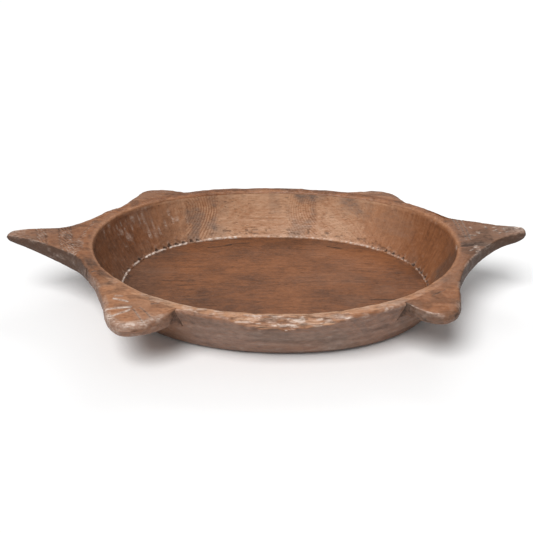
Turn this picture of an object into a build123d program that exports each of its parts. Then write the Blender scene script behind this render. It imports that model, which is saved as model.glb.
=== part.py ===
from build123d import *
from math import radians, sqrt, tan
import os

# A long, shallow bowl carved from one block of timber, in millimetres. +X runs along the bowl, +Z up,
# and the base rests on Z = 0. The one block is written out as its eight carved regions, which meet
# face to face: the basin's floor and wall, a pointed horn at each end and four rounded lobes.

# The basin sits a little to the right of the block's middle and is turned a little in plan.
basin_x = 13
basin_y = 4
basin_turn = -2

# Half-lengths and half-widths of the basin's ovals.
floor_half_length = 257
floor_half_width = 173
base_half_length = 258
base_half_width = 175
rim_half_length = 290
rim_half_width = 206
rim_width = 18.5
wall_bulge = 4

# Heights. The rim is lowest at the middle of the long sides and rises in one arc to both ends.
floor_thickness = 16
rim_height = 94
sheer_rise = 13.4

# The floor is a disc that stops short of the carved corner between floor and wall.
floor_margin = 14
corner_radius = 9
base_edge_radius = 12
rim_edge_radius = 5

# Horns: level underneath at the root, thinner towards the tip, with softened edges.
overhang_height = 68
horn_tip_underside = 101
horn_root = 200
horn_lift_start = 245
horn_middle = 305
horn_reach = 430
horn_edge_radius = 4

# Lobes: thick plates whose tops droop outwards from the rim, with well rounded edges.
lobe_hinge = 160
lobe_slope = 9
lobe_edge_radius = 8

# Blanks are cut from a block a little larger than the bowl.
block_height = 140
block_half_length = 460
block_half_width = 260

# Outlines of horns and lobes close inside the basin's wall, this share of the way from its centre.
root_share = 0.7

# The narrow webs where a horn and a lobe meet.
web_back_left = (-276, 108)
web_front_left = (-279, -88)
web_back_right = (288, 110)
web_front_right = (297, -114)

# Each horn in plan: one long edge, the tip and the other long edge. Then the height of its tip's top.
horns = {
    "horn_left": (
        [web_back_left, (-302, 70), (-336, 40), (-375, 26), (-413, 16)],
        (-424, 4),
        [(-413, -6), (-380, -15), (-336, -36), (-300, -58), web_front_left],
        114,
    ),
    "horn_right": (
        [web_front_right, (316, -74), (350, -31), (382, -4), (414, 6)],
        (424, 13),
        [(413, 22), (382, 34), (346, 51), (312, 74), web_back_right],
        117,
    ),
}

# Each lobe in plan, from one end round the free edge to the other. Then the height of its underside.
lobes = {
    "lobe_front_left": (
        [
            web_front_left,
            (-262, -118),
            (-242, -168),
            (-231, -208),
            (-214, -222),
            (-186, -222),
            (-162, -210),
            (-135, -196),
        ],
        68,
    ),
    "lobe_back_left": (
        [
            (-156, 205),
            (-178, 216),
            (-202, 218),
            (-226, 206),
            (-240, 172),
            (-258, 132),
            web_back_left,
        ],
        70,
    ),
    "lobe_front_right": (
        [
            (211, -186),
            (236, -202),
            (258, -207),
            (276, -191),
            (284, -160),
            (289, -136),
            web_front_right,
        ],
        74,
    ),
    "lobe_back_right": (
        [
            web_back_right,
            (262, 132),
            (246, 164),
            (234, 194),
            (212, 214),
            (184, 216),
            (152, 207),
        ],
        72,
    ),
}

sheer_radius = (rim_half_length**2 + sheer_rise**2) / (2 * sheer_rise)


def sheer(x):
    """Height of the rim's top along the bowl."""
    return rim_height + sheer_radius - sqrt(sheer_radius**2 - (x - basin_x) ** 2)


def above_rim(low, high, low_height):
    """A half-size at the block's top, on the line from its size low down to its size at the rim."""
    return high + (high - low) * (block_height - rim_height) / (rim_height - low_height)


def oval(height, half_length, half_width):
    """A level oval about the basin's centre line."""
    with BuildSketch(Plane.XY.offset(height)) as sketch:
        with Locations((basin_x, basin_y)):
            Ellipse(half_length, half_width, rotation=basin_turn)
    return sketch.sketch


def inward(point):
    """The point part of the way from the basin's centre to a point of an outline."""
    return (
        basin_x + root_share * (point[0] - basin_x),
        basin_y + root_share * (point[1] - basin_y),
    )


# Everything below the sheer arc.
with BuildPart() as below_sheer:
    with BuildSketch(Plane.XZ):
        with BuildLine():
            left_top = (-block_half_length, sheer(-block_half_length))
            right_top = (block_half_length, sheer(block_half_length))
            ThreePointArc(left_top, (basin_x, rim_height), right_top)
            Polyline(right_top, (block_half_length, 0), (-block_half_length, 0), left_top)
        make_face()
    extrude(amount=block_half_width, both=True)

# The whole outside of the basin, its wall bulging a little between base and rim.
outer_half_length = rim_half_length + rim_width
outer_half_width = rim_half_width + rim_width
with BuildPart() as outside:
    add(oval(0, base_half_length, base_half_width))
    add(
        oval(
            rim_height / 2,
            (base_half_length + outer_half_length) / 2 + wall_bulge,
            (base_half_width + outer_half_width) / 2 + wall_bulge,
        )
    )
    add(oval(rim_height, outer_half_length, outer_half_width))
    add(
        oval(
            block_height,
            above_rim(base_half_length, outer_half_length, 0),
            above_rim(base_half_width, outer_half_width, 0),
        )
    )
    loft()

# The hollow, with straight sides from the floor up past the rim.
with BuildPart() as hollow:
    add(oval(floor_thickness, floor_half_length, floor_half_width))
    add(
        oval(
            block_height,
            above_rim(floor_half_length, rim_half_length, floor_thickness),
            above_rim(floor_half_width, rim_half_width, floor_thickness),
        )
    )
    loft(ruled=True)

os.makedirs("parts", exist_ok=True)

# Floor: the flat base and the flat inside, one level board.
with BuildPart() as basin_floor:
    add(oval(0, floor_half_length - floor_margin, floor_half_width - floor_margin))
    extrude(amount=floor_thickness)
basin_floor.part.label = "basin_floor"
export_step(basin_floor.part, "parts/basin_floor.step")

# Wall: the ring between the outside and the hollow, with a carved inner corner and rounded edges.
with BuildPart() as basin_wall:
    add(outside.part)
    add(below_sheer.part, mode=Mode.INTERSECT)
    add(hollow.part, mode=Mode.SUBTRACT)
    add(basin_floor.part, mode=Mode.SUBTRACT)
    base_rings = basin_wall.edges().group_by(Axis.Z)[0]
    fillet(base_rings.sort_by(SortBy.LENGTH)[-1], base_edge_radius)
    floor_rings = basin_wall.edges().filter_by_position(Axis.Z, floor_thickness, floor_thickness)
    fillet(floor_rings.sort_by(SortBy.LENGTH)[-1], corner_radius)
    rings = basin_wall.edges().filter_by(lambda edge: edge.is_closed)
    fillet(rings.filter_by(lambda edge: edge.center().Z > rim_height), rim_edge_radius)
basin_wall.part.label = "basin_wall"
export_step(basin_wall.part, "parts/basin_wall.step")

# Horns: the plan outline, cut to a side profile that thins towards the tip.
for label, (one_edge, tip, other_edge, tip_height) in horns.items():
    side = -1 if tip[0] < 0 else 1
    root = side * horn_root
    middle = side * horn_middle
    reach = side * horn_reach
    with BuildPart() as horn:
        with BuildSketch():
            with BuildLine():
                Spline(*one_edge)
                ThreePointArc(one_edge[-1], tip, other_edge[0])
                Spline(*other_edge)
                Polyline(other_edge[-1], inward(other_edge[-1]), inward(one_edge[0]), one_edge[0])
            make_face()
        extrude(amount=block_height)
        with BuildSketch(Plane.XZ):
            with BuildLine():
                ThreePointArc((root, sheer(root)), (middle, sheer(middle)), (reach, tip_height))
                Line((reach, tip_height), (reach, horn_tip_underside))
                Spline(
                    (reach, horn_tip_underside),
                    (side * horn_lift_start, overhang_height),
                    (root, overhang_height),
                    tangents=[(-side, -0.1), (-side, 0)],
                )
                Line((root, overhang_height), (root, sheer(root)))
            make_face()
        extrude(amount=block_half_width, both=True, mode=Mode.INTERSECT)
        curved_edges = horn.edges().filter_by(GeomType.LINE, reverse=True)
        fillet(
            curved_edges.filter_by(lambda edge: abs(edge.center().X) > horn_middle),
            horn_edge_radius,
        )
        add(outside.part, mode=Mode.SUBTRACT)
    horn.part.label = label
    export_step(horn.part, f"parts/{label}.step")

# Lobes: the plan outline under a flat top that follows the sheer and droops outwards.
for label, (outline, underside) in lobes.items():
    middle = sum(point[0] for point in outline) / len(outline)
    side = 1 if outline[0][1] > 0 else -1
    rise = (middle - basin_x) / sheer_radius
    droop = side * tan(radians(lobe_slope))
    top = Plane((middle, side * lobe_hinge, sheer(middle)), z_dir=(-rise, droop, 1))
    with BuildPart() as lobe:
        with BuildSketch(Plane.XY.offset(underside)):
            with BuildLine():
                Spline(*outline)
                Polyline(outline[-1], inward(outline[-1]), inward(outline[0]), outline[0])
            make_face()
        extrude(amount=block_height)
        split(bisect_by=top, keep=Keep.BOTTOM)
        fillet(lobe.edges().filter_by(GeomType.BSPLINE), lobe_edge_radius)
        add(below_sheer.part, mode=Mode.INTERSECT)
        add(outside.part, mode=Mode.SUBTRACT)
    lobe.part.label = label
    export_step(lobe.part, f"parts/{label}.step")
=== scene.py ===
import itertools
import math

import bpy
import numpy as np
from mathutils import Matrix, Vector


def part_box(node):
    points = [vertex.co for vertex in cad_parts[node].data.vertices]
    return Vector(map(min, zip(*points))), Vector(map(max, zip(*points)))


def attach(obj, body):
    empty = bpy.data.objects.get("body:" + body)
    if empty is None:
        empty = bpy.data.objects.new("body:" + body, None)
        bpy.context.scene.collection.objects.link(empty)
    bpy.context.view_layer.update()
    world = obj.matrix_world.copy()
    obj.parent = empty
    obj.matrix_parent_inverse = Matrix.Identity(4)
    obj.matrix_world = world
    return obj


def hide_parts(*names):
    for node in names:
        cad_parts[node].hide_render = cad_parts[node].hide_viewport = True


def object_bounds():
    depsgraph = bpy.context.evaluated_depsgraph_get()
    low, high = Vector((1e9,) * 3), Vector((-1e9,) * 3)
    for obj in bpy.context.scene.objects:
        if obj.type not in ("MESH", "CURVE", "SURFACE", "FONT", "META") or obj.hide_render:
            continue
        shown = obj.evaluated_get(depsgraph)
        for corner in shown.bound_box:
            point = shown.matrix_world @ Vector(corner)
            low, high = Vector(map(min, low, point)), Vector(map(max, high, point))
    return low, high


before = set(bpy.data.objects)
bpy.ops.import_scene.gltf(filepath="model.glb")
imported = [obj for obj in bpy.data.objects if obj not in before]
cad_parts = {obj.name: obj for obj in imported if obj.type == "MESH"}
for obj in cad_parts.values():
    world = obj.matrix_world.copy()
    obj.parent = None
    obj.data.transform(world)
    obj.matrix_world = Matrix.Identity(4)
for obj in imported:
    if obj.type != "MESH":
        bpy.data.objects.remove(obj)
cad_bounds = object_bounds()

# A long shallow bowl carved from one block of timber. The whole surface is worked out as grids of
# points in millimetres, carved by adding tool marks along the surface's normals, and then cut into one
# closed piece for each region of the frame: floor, wall, two horns and four lobes.
MM = 0.001


def node_box(node):
    """A frame node's lowest and highest corners in millimetres."""
    low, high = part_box(node)
    return np.array(low) / MM, np.array(high) / MM


# ---------------------------------------------------------------- sizes, from the frame
floor_low, floor_high = node_box("basin_floor")
wall_low, wall_high = node_box("basin_wall")
CENTRE = (floor_low + floor_high)[:2] / 2
TURN = math.radians(-2)
FLOOR_TOP = floor_high[2]
FLOOR_SEAM = (floor_high - floor_low)[:2] / 2
FLOOR_RING = FLOOR_SEAM + 14
RIM_OUTSIDE = (wall_high - wall_low)[:2] / 2 + np.array([2.0, 2.5])
RIM_WIDTH = 19.5
RIM_INSIDE = RIM_OUTSIDE - RIM_WIDTH
RIM_LOW = 94
SHEER = 13.6
BASE_RING = FLOOR_RING + np.array([0.5, 1.5])
BASE_SQUARENESS = 2.12
BASE_SHIFT = 3
BASE_ROUND = 9
BASE_EDGE_HEIGHT = 12
WALL_BULGE = 4
RIM_ROUND = 4.5
JUNCTION_HEIGHT = 58
FLOOR_SQUARENESS = 2.25
RIM_SQUARENESS = 2.06

# Outlines of what stands out from the rim, counter-clockwise seen from above, notch to notch. A point
# is (share of the node's box along x, share along y, drop below the rim's sheer, height of the
# underside, edge radius), the last three in millimetres.
LEFT_COLLAR = [
    ("lobe_back_left", [
        (0.90, 0.885, 2, 74, 4), (0.735, 0.975, 3, 70, 7), (0.555, 0.995, 3.5, 70, 8),
        (0.375, 0.893, 3, 70, 7), (0.27, 0.605, 2, 69, 6), (0.135, 0.265, 1, 70, 5)]),
    ("horn_left", [
        (0.877, 1.0, 0, 70, 3), (0.723, 0.806, 0, 71, 2.5), (0.521, 0.653, 1, 80, 2.5),
        (0.29, 0.587, 1.5, 92, 2), (0.08, 0.545, 3.5, 101, 3.5), (0.018, 0.515, 4.5, 104, 5),
        (0.006, 0.479, 4.5, 105, 5), (0.018, 0.45, 4.5, 104, 5), (0.08, 0.435, 4, 101, 3.5),
        (0.26, 0.388, 2, 93, 1.8), (0.521, 0.287, 1, 82.5, 1.8), (0.735, 0.172, 1, 75, 2.2)]),
    ("lobe_front_left", [
        (0.0, 0.95, 1, 78, 3), (0.11, 0.741, 1.5, 77, 4), (0.24, 0.393, 4, 70, 7),
        (0.312, 0.114, 7.5, 69, 9), (0.422, 0.0, 9, 67, 10), (0.604, -0.01, 9, 66.5, 10),
        (0.76, 0.07, 6, 67, 8), (0.935, 0.187, 2, 71, 4)]),
]
RIGHT_COLLAR = [
    ("lobe_front_right", [
        (0.158, 0.21, 2, 77, 2), (0.403, 0.065, 6, 76, 2.5), (0.618, 0.02, 8, 75, 6),
        (0.83, 0.161, 7, 74, 8), (0.915, 0.463, 4, 73, 6), (0.945, 0.697, 2, 73, 5)]),
    ("horn_right", [
        (0.158, 0.0, 1, 76, 4), (0.284, 0.189, 1, 79, 3), (0.509, 0.38, 0.5, 87, 1.8),
        (0.721, 0.485, 0, 94, 1.8), (0.925, 0.525, -1, 100, 3.5), (0.985, 0.543, -1.5, 103, 5),
        (0.997, 0.567, -2, 103, 5), (0.985, 0.592, -2.5, 103, 5), (0.92, 0.617, -3, 100, 4),
        (0.721, 0.671, -3, 92, 2), (0.483, 0.75, -3, 80, 2), (0.258, 0.85, -2, 71, 3)]),
    ("lobe_back_right", [
        (1.0, 0.05, 0, 70, 4), (0.82, 0.245, 1, 71, 5), (0.709, 0.529, 2, 72, 6),
        (0.625, 0.796, 3, 72, 7), (0.473, 0.974, 3.5, 72, 8), (0.278, 0.992, 3, 73, 7),
        (0.056, 0.912, 2, 76, 4)]),
]
# Distance from one column of points to the next, round the collars and round the bare rim.
OUTLINE_STEP = 1.9
RIM_STEP = 2.2


# ---------------------------------------------------------------- curves and rings
def distances(points, power=1):
    """How far along a run of points each one is, with each step raised to a power."""
    steps = np.linalg.norm(np.diff(points, axis=0), axis=1) ** power
    return np.concatenate([[0], np.cumsum(steps)])


def spline(points, per_span):
    """A smooth curve through rows of numbers, as a dense run of rows (centripetal Catmull-Rom)."""
    points = np.asarray(points, float)
    ends = np.vstack([2 * points[0] - points[1], points, 2 * points[-1] - points[-2]])
    knots = distances(ends[:, :2], 0.5)
    rows = []
    for i in range(1, len(ends) - 2):
        p0, p1, p2, p3 = ends[i - 1:i + 3]
        t0, t1, t2, t3 = knots[i - 1:i + 3]
        t = np.linspace(t1, t2, per_span, endpoint=False)[:, None]
        a1 = (t1 - t) / (t1 - t0) * p0 + (t - t0) / (t1 - t0) * p1
        a2 = (t2 - t) / (t2 - t1) * p1 + (t - t1) / (t2 - t1) * p2
        a3 = (t3 - t) / (t3 - t2) * p2 + (t - t2) / (t3 - t2) * p3
        b1 = (t2 - t) / (t2 - t0) * a1 + (t - t0) / (t2 - t0) * a2
        b2 = (t3 - t) / (t3 - t1) * a2 + (t - t1) / (t3 - t1) * a3
        rows.append((t2 - t) / (t2 - t1) * b1 + (t - t1) / (t2 - t1) * b2)
    rows.append(ends[-2][None])
    return np.vstack(rows)


def smooth(values, width):
    """A running mean that keeps both ends."""
    padded = np.concatenate([np.full(width, values[0]), values, np.full(width, values[-1])])
    kernel = np.ones(2 * width + 1) / (2 * width + 1)
    return np.convolve(padded, kernel, "valid")


def smoothstep(low, high, value):
    """0 at low and 1 at high, with a smooth rise between them."""
    share = np.clip((value - low) / (high - low), 0, 1)
    return share * share * (3 - 2 * share)


def polar_angle(points):
    """Angle about the basin's centre, from the basin's own long axis."""
    return np.arctan2(points[..., 1] - CENTRE[1], points[..., 0] - CENTRE[0]) - TURN


def radius(half_sizes, squareness, angle):
    """Distance from the centre to a squared-off oval in one direction of the basin's own axes."""
    along = np.abs(np.cos(angle)) / half_sizes[0]
    across = np.abs(np.sin(angle)) / half_sizes[1]
    return (along ** squareness + across ** squareness) ** (-1 / squareness)


def rim_reach(angle):
    """Distance from the centre to the rim's outer edge."""
    return radius(RIM_OUTSIDE, RIM_SQUARENESS, angle)


def ring_reach(angle):
    """Distance from the centre to the floor's edge."""
    return radius(FLOOR_RING, FLOOR_SQUARENESS, angle)


def base_reach(angle):
    """Distance from the centre to the edge of the base, which sits a little to the right."""
    return radius(BASE_RING, BASE_SQUARENESS, angle) + BASE_SHIFT * np.cos(angle)


def place(reach, angle, height):
    """Points at a distance from the centre line, in a direction and at a height."""
    x = CENTRE[0] + reach * np.cos(angle + TURN)
    y = CENTRE[1] + reach * np.sin(angle + TURN)
    return np.stack(np.broadcast_arrays(x, y, height), -1)


def sheer(x):
    """Height of the rim, which rises in a shallow curve towards both ends."""
    return RIM_LOW + SHEER * ((x - CENTRE[0]) / RIM_OUTSIDE[0]) ** 2


# ---------------------------------------------------------------- cross-section of the basin
# The foot of the wall: out from the floor's edge and up from the floor.
FOOT = np.array([
    (-1.5, -3.0), (-1.3, -0.6), (-1.1, 0.9), (-0.8, 2.2), (0.0, 3.2), (1.1, 3.8), (2.0, 4.6)])
# How many rows of points each part of the section has, from the inner wall round to the base.
WALL_ROWS = 34
ROUND_ROWS = 4
TOP_ROWS = 6
SIDE_ROWS = 18
LOWER_ROWS = 14
BASE_ROWS = 6
INNER_BOW = 3
RIM_CROWN = 0.6
SEAM_DEPTH = 3.5


def inner_rows(angle):
    """Foot, inner wall and rim top, from under the floor's edge out to the rim's outer rounding."""
    floor = ring_reach(angle)
    inside = radius(RIM_INSIDE, RIM_SQUARENESS, angle)
    top = sheer(place(inside, angle, 0)[..., 0])
    rows = [place(floor + out, angle, FLOOR_TOP + up) for out, up in FOOT]
    foot_out, foot_up = FOOT[-1]
    low = FLOOR_TOP + foot_up
    for i in range(1, WALL_ROWS + 1):
        share = i / WALL_ROWS
        bow = INNER_BOW * math.sin(math.pi * share)
        reach = floor + foot_out + (inside - floor - foot_out) * share + bow
        rows.append(place(reach, angle, low + (top - RIM_ROUND - low) * share))
    for i in range(1, ROUND_ROWS + 1):
        turn = math.pi / 2 * i / ROUND_ROWS
        reach = inside + RIM_ROUND * (1 - math.cos(turn))
        rows.append(place(reach, angle, top - RIM_ROUND * (1 - math.sin(turn))))
    start = inside + RIM_ROUND
    end = rim_reach(angle) - RIM_ROUND
    for i in range(1, TOP_ROWS + 1):
        share = i / TOP_ROWS
        points = place(start + (end - start) * share, angle, 0.0)
        points[..., 2] = sheer(points[..., 0]) + RIM_CROWN * math.sin(math.pi * share)
        rows.append(points)
    return np.stack(rows, 1)


def outside_reach(angle, height):
    """Distance from the centre line to the outer wall."""
    outside = rim_reach(angle)
    base = base_reach(angle)
    share = height / (sheer(place(outside, angle, 0)[..., 0]) - RIM_ROUND)
    return base + (outside - base) * share + WALL_BULGE * 4 * share * (1 - share)


def bare_rows(angle):
    """The rim's outer rounding and the upper outer wall, where nothing stands out from the rim."""
    outside = rim_reach(angle)
    top = sheer(place(outside, angle, 0)[..., 0])
    rows = []
    for i in range(1, ROUND_ROWS + 1):
        turn = math.pi / 2 * i / ROUND_ROWS
        reach = outside - RIM_ROUND * (1 - math.sin(turn))
        rows.append(place(reach, angle, top - RIM_ROUND * (1 - math.cos(turn))))
    for i in range(1, SIDE_ROWS + 1):
        height = (top - RIM_ROUND) + (JUNCTION_HEIGHT - top + RIM_ROUND) * i / (SIDE_ROWS + 1)
        rows.append(place(outside_reach(angle, height), angle, height))
    return np.stack(rows, 1)


def outer_rows(angle):
    """The lower outer wall, the rounded base edge, the flat base ring and the seam under the floor."""
    rows = []
    for i in range(LOWER_ROWS + 1):
        height = JUNCTION_HEIGHT + (BASE_EDGE_HEIGHT - JUNCTION_HEIGHT) * i / LOWER_ROWS
        rows.append(place(outside_reach(angle, height), angle, height))
    start = outside_reach(angle, BASE_EDGE_HEIGHT)
    base = base_reach(angle)
    for i in range(1, BASE_ROWS + 1):
        t = i / BASE_ROWS
        reach = (1 - t) ** 2 * start + 2 * t * (1 - t) * base + t * t * (base - BASE_ROUND)
        rows.append(place(reach, angle, (1 - t) ** 2 * BASE_EDGE_HEIGHT))
    seam = radius(FLOOR_SEAM, 2, angle)
    rows.append(place(seam, angle, 0.0))
    rows.append(place(seam, angle, FLOOR_TOP - SEAM_DEPTH))
    return np.stack(rows, 1)


# ---------------------------------------------------------------- horns and lobes
OVER_TOP_ROWS = 70
EDGE_ROWS = 6
FLANK_ROWS = 5
UNDER_ROWS = 22
# How far from a collar's ends the section has become its own, in millimetres.
SINK_LENGTH = 6.5


def outline(collar):
    """A collar's outline as evenly spaced rows of x, y, drop, underside and edge radius, with the
    place of each of its webs, where one node ends and the next begins."""
    controls = []
    firsts = []
    for node, points in collar:
        low, high = node_box(node)
        firsts.append(len(controls))
        for across, along, *rest in points:
            controls.append([*(low[:2] + (high - low)[:2] * (across, along)), *rest])
    per_span = 40
    dense = spline(controls, per_span)
    lengths = distances(dense[:, :2])
    count = 2 * int(lengths[-1] / OUTLINE_STEP / 2) * 2 + 1
    even = np.linspace(0, lengths[-1], count)
    rows = np.stack([np.interp(even, lengths, dense[:, k]) for k in range(dense.shape[1])], 1)
    webs = [int(round(lengths[first * per_span] / even[1] / 2)) * 2 for first in firsts[1:]]
    return rows, even, webs


def over_rows(rows, distance, angle, first, last):
    """What stands out from the rim: its top out to the outline, the rounded edge and the underside.
    first is the ring where the top leaves the rim and last the ring where the underside meets the
    wall. At both ends of a collar the section sinks into the bare rim."""
    edge = rows[:, :2]
    drop, under, round_ = rows[:, 2], rows[:, 3], rows[:, 4]
    tangent = np.gradient(edge, axis=0)
    tangent /= np.linalg.norm(tangent, axis=1)[:, None]
    normal = np.stack([tangent[:, 1], -tangent[:, 0]], 1)
    inset = edge - normal * round_[:, None]
    out = []
    for i in range(1, OVER_TOP_ROWS + 1):
        share = i / OVER_TOP_ROWS
        xy = first[:, :2] + (inset - first[:, :2]) * share
        crown = 0.8 * math.sin(math.pi * share)
        out.append(np.column_stack([xy, sheer(xy[:, 0]) - drop * share ** 1.4 + crown]))
    top = out[-1][:, 2]
    for i in range(1, EDGE_ROWS + 1):
        turn = math.pi / 2 * i / EDGE_ROWS
        xy = inset + normal * (round_ * math.sin(turn))[:, None]
        out.append(np.column_stack([xy, top - round_ * (1 - math.cos(turn))]))
    for i in range(1, FLANK_ROWS + 1):
        share = i / (FLANK_ROWS + 1)
        xy = edge + normal * 0.8 * math.sin(math.pi * share)
        out.append(np.column_stack([xy, top - round_ + (under - top + 2 * round_) * share]))
    for i in range(0, EDGE_ROWS + 1):
        turn = math.pi / 2 * i / EDGE_ROWS
        xy = inset + normal * (round_ * math.cos(turn))[:, None]
        out.append(np.column_stack([xy, under + round_ * (1 - math.sin(turn))]))
    start = out[-1]
    lift = under - 2
    wall = place(outside_reach(angle, lift), angle, lift)
    middle = start + (wall - start) * 0.6
    middle[:, 2] = start[:, 2] - 0.5
    for i in range(1, UNDER_ROWS + 1):
        t = i / (UNDER_ROWS + 1)
        out.append((1 - t) ** 3 * start + 3 * t * (1 - t) ** 2 * middle
                   + 3 * t * t * (1 - t) * wall + t ** 3 * last)
    section = np.stack(out, 1)
    # Near the collar's ends the section turns into the bare rim's own profile.
    bare = np.concatenate([first[:, None], bare_rows(angle), last[:, None]], 1)
    marks = np.concatenate([
        np.linspace(0, 0.06, OVER_TOP_ROWS + 1)[1:],
        np.linspace(0.06, 0.45, 2 * EDGE_ROWS + FLANK_ROWS + 2)[1:],
        np.linspace(0.45, 1, UNDER_ROWS + 2)[1:-1]])
    position = marks * (bare.shape[1] - 1)
    low = np.floor(position).astype(int)
    part = (position - low)[None, :, None]
    sunk = bare[:, low] * (1 - part) + bare[:, low + 1] * part
    rise = smoothstep(0, SINK_LENGTH, distance) * smoothstep(0, SINK_LENGTH, distance[-1] - distance)
    return sunk + (section - sunk) * rise[:, None, None]


# ---------------------------------------------------------------- columns round the basin
def collar_angles(rows):
    """Where each column of a collar crosses the rim: partly straight in, partly evenly spread."""
    crossing = np.unwrap(polar_angle(rows[:, :2]))
    straight = smooth(np.maximum.accumulate(crossing), 6)
    straight[0], straight[-1] = crossing[[0, -1]]
    even = np.linspace(straight[0], straight[-1], len(rows))
    return 0.6 * straight + 0.4 * even


class Collar:
    """Two lobes and a horn that stand out from one end of the rim, and the columns through them."""

    def __init__(self, parts):
        self.nodes = [node for node, _ in parts]
        self.rows, self.distance, self.webs = outline(parts)
        self.angle = collar_angles(self.rows)
        inner = inner_rows(self.angle)
        outer = outer_rows(self.angle)
        over = over_rows(self.rows, self.distance, self.angle, inner[:, -1], outer[:, 0])
        self.grid = np.concatenate([inner, over, outer], 1)


left = Collar(LEFT_COLLAR)
right = Collar(RIGHT_COLLAR)
INNER_COUNT = inner_rows(left.angle[:1]).shape[1]
OUTER_COUNT = outer_rows(left.angle[:1]).shape[1]


def bare_run(start, end):
    """Grid of the plain rim between two collars, both end columns included."""
    if end < start:
        end += 2 * math.pi
    length = (end - start) * rim_reach(np.array((start + end) / 2))
    angle = np.linspace(start, end, int(length / RIM_STEP))
    return angle, np.concatenate([inner_rows(angle), bare_rows(angle), outer_rows(angle)], 1)


back_angle, back = bare_run(right.angle[-1], left.angle[0])
front_angle, front = bare_run(left.angle[-1] - 2 * math.pi, right.angle[0])


def grid_normals(grid):
    """Outward unit normals of a grid of columns and rows."""
    across = np.gradient(grid, axis=0)
    down = np.gradient(grid, axis=1)
    normal = np.cross(down, across)
    return normal / np.maximum(np.linalg.norm(normal, axis=-1, keepdims=True), 1e-9)


# ---------------------------------------------------------------- noise and marks
LATTICE = np.random.default_rng(11).uniform(-1, 1, (64, 64, 64))
LAYOUT = np.random.default_rng(23).uniform(0, 1, (512, 8))


def noise(points, size, seed=0):
    """Smooth noise, mostly between -0.6 and 0.6, in blobs about size millimetres across."""
    scaled = points / np.asarray(size, float) + seed * np.array([7.3, 3.9, 5.1])
    cell = np.floor(scaled).astype(int)
    part = scaled - cell
    part = part * part * (3 - 2 * part)
    total = np.zeros(points.shape[:-1])
    for corner in itertools.product((0, 1), repeat=3):
        weight = np.prod(np.where(corner, part, 1 - part), -1)
        index = (cell + corner) % 64
        total += weight * LATTICE[index[..., 0], index[..., 1], index[..., 2]]
    return total


def patches(points, size, seed, low, high):
    """Noise turned into patches: 0 where it is under low, 1 where it is over high."""
    return smoothstep(low, high, noise(points, size, seed))


def bump(low, high, fade, value):
    """1 between low and high, fading to 0 over fade on either side."""
    return smoothstep(low - fade, low, value) * (1 - smoothstep(high, high + fade, value))


def line_mark(points, start, end, width):
    """1 along a line across the plan, fading to 0 at width millimetres from it."""
    run = np.subtract(end, start)
    share = np.clip(((points[..., :2] - start) @ run) / (run @ run), 0, 1)
    gap = np.linalg.norm(points[..., :2] - (start + share[..., None] * run), axis=-1)
    return np.clip(1 - gap / width, 0, 1)


def in_node(node, across, along):
    """A place in the plan as shares of a node's box."""
    low, high = node_box(node)
    return low[:2] + (high - low)[:2] * (across, along)


def node_line(points, node, start, end, width):
    """A line mark whose ends are given as shares of a node's box."""
    return line_mark(points, in_node(node, *start), in_node(node, *end), width)


BITE_WIDTH = 13.5
RING_ANGLES = np.linspace(0, 2 * math.pi, 721)
RING_LENGTHS = distances(place(ring_reach(RING_ANGLES), RING_ANGLES, 0))
BITES = int(RING_LENGTHS[-1] / BITE_WIDTH)


def girth(angle):
    """Length along the floor's edge, from the right end round the back, in millimetres."""
    return np.interp(angle % (2 * math.pi), RING_ANGLES, RING_LENGTHS)


def scoop(across, along):
    """A round-bottomed hollow, 0 at whole numbers of across and nearly 0 at those of along."""
    return 4 * (across % 1) * (1 - across % 1) * np.sqrt(4 * (along % 1) * (1 - along % 1) + 0.02)


def undulation(points):
    """The slight waviness of a surface cut by hand."""
    return (1.3 * noise(points, 75, 1) + 0.6 * noise(points, 24, 2) + 0.35 * noise(points, 9, 3)
            + 0.22 * noise(points, (7, 4, 4), 45))


def shade_hollows_and_pale_ridges(skin):
    """Whatever is cut below its surroundings is painted darker, as shade in the hollows, and ridges are
    painted pale, partly as worn wood and partly as highlight.
    """
    around = skin.move
    for axis in (0, 1):
        around = sum(np.roll(around, k, axis) for k in range(-3, 4)) / 7
    height = skin.move - around
    inside = np.zeros_like(height)
    inside[4:-4, 4:-4] = 1
    skin.dark += np.clip(-1.1 * height, 0, 0.5) * inside
    skin.pale += np.clip(0.45 * height - 0.04, 0, 0.3) * inside


def patina(points):
    """Grey and dirt on the upper surfaces, more on the horns; most in the valley before the right one,
    which is darkened partly as dirt and partly as painted shadow.
    """
    x, y = points[..., 0], points[..., 1]
    horns = smoothstep(292, 326, np.abs(x))
    right_horn = smoothstep(298, 330, x)
    valley = node_line(points, "horn_right", (0.06, 0.46), (0.60, 0.41), 9)
    crack = node_line(points, "horn_right", (0.2, 0.412), (0.38, 0.43), 4.5)
    web = bump(-300, -240, 12, x) * bump(-130, -70, 14, y)
    right_web = bump(240, 300, 12, x) * bump(-125, -60, 14, y)
    blot = patches(points, 16, 44, -0.2, 0.3)
    grey = 0.3 * patches(points, 30, 19, 0.05, 0.45) + 0.3 * horns + 0.18 * right_horn
    grey = grey + 0.5 * valley + 0.5 * web * blot
    dark = 0.4 * patches(points, (18, 11, 11), 20, 0.05, 0.45) + 0.24 * right_horn + 0.1 * horns
    # the valley's darkening is partly dirt and partly painted shadow
    dark = dark + 0.45 * valley + 1.3 * crack + 0.38 * web + 0.1 * right_web
    return grey, dark, 1.6 * valley + 1.6 * crack


class Skin:
    """What carving does to a grid of points: how far each moves along its normal, and how pale,
    dark, grey or light in tone the wood is there, how much it shows tool marks as the ends do, and
    how much it shows curved rings."""
    # pale also holds painted highlights and glints; dark and grey also hold painted shade and shadow
    NAMES = ("pale", "dark", "grey", "tone", "ends", "rings")

    def __init__(self, shape, tone):
        for name in ("move", *self.NAMES):
            setattr(self, name, np.zeros(shape))
        self.tone += tone

    def layers(self):
        return np.stack([getattr(self, name) for name in self.NAMES], -1)


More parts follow.
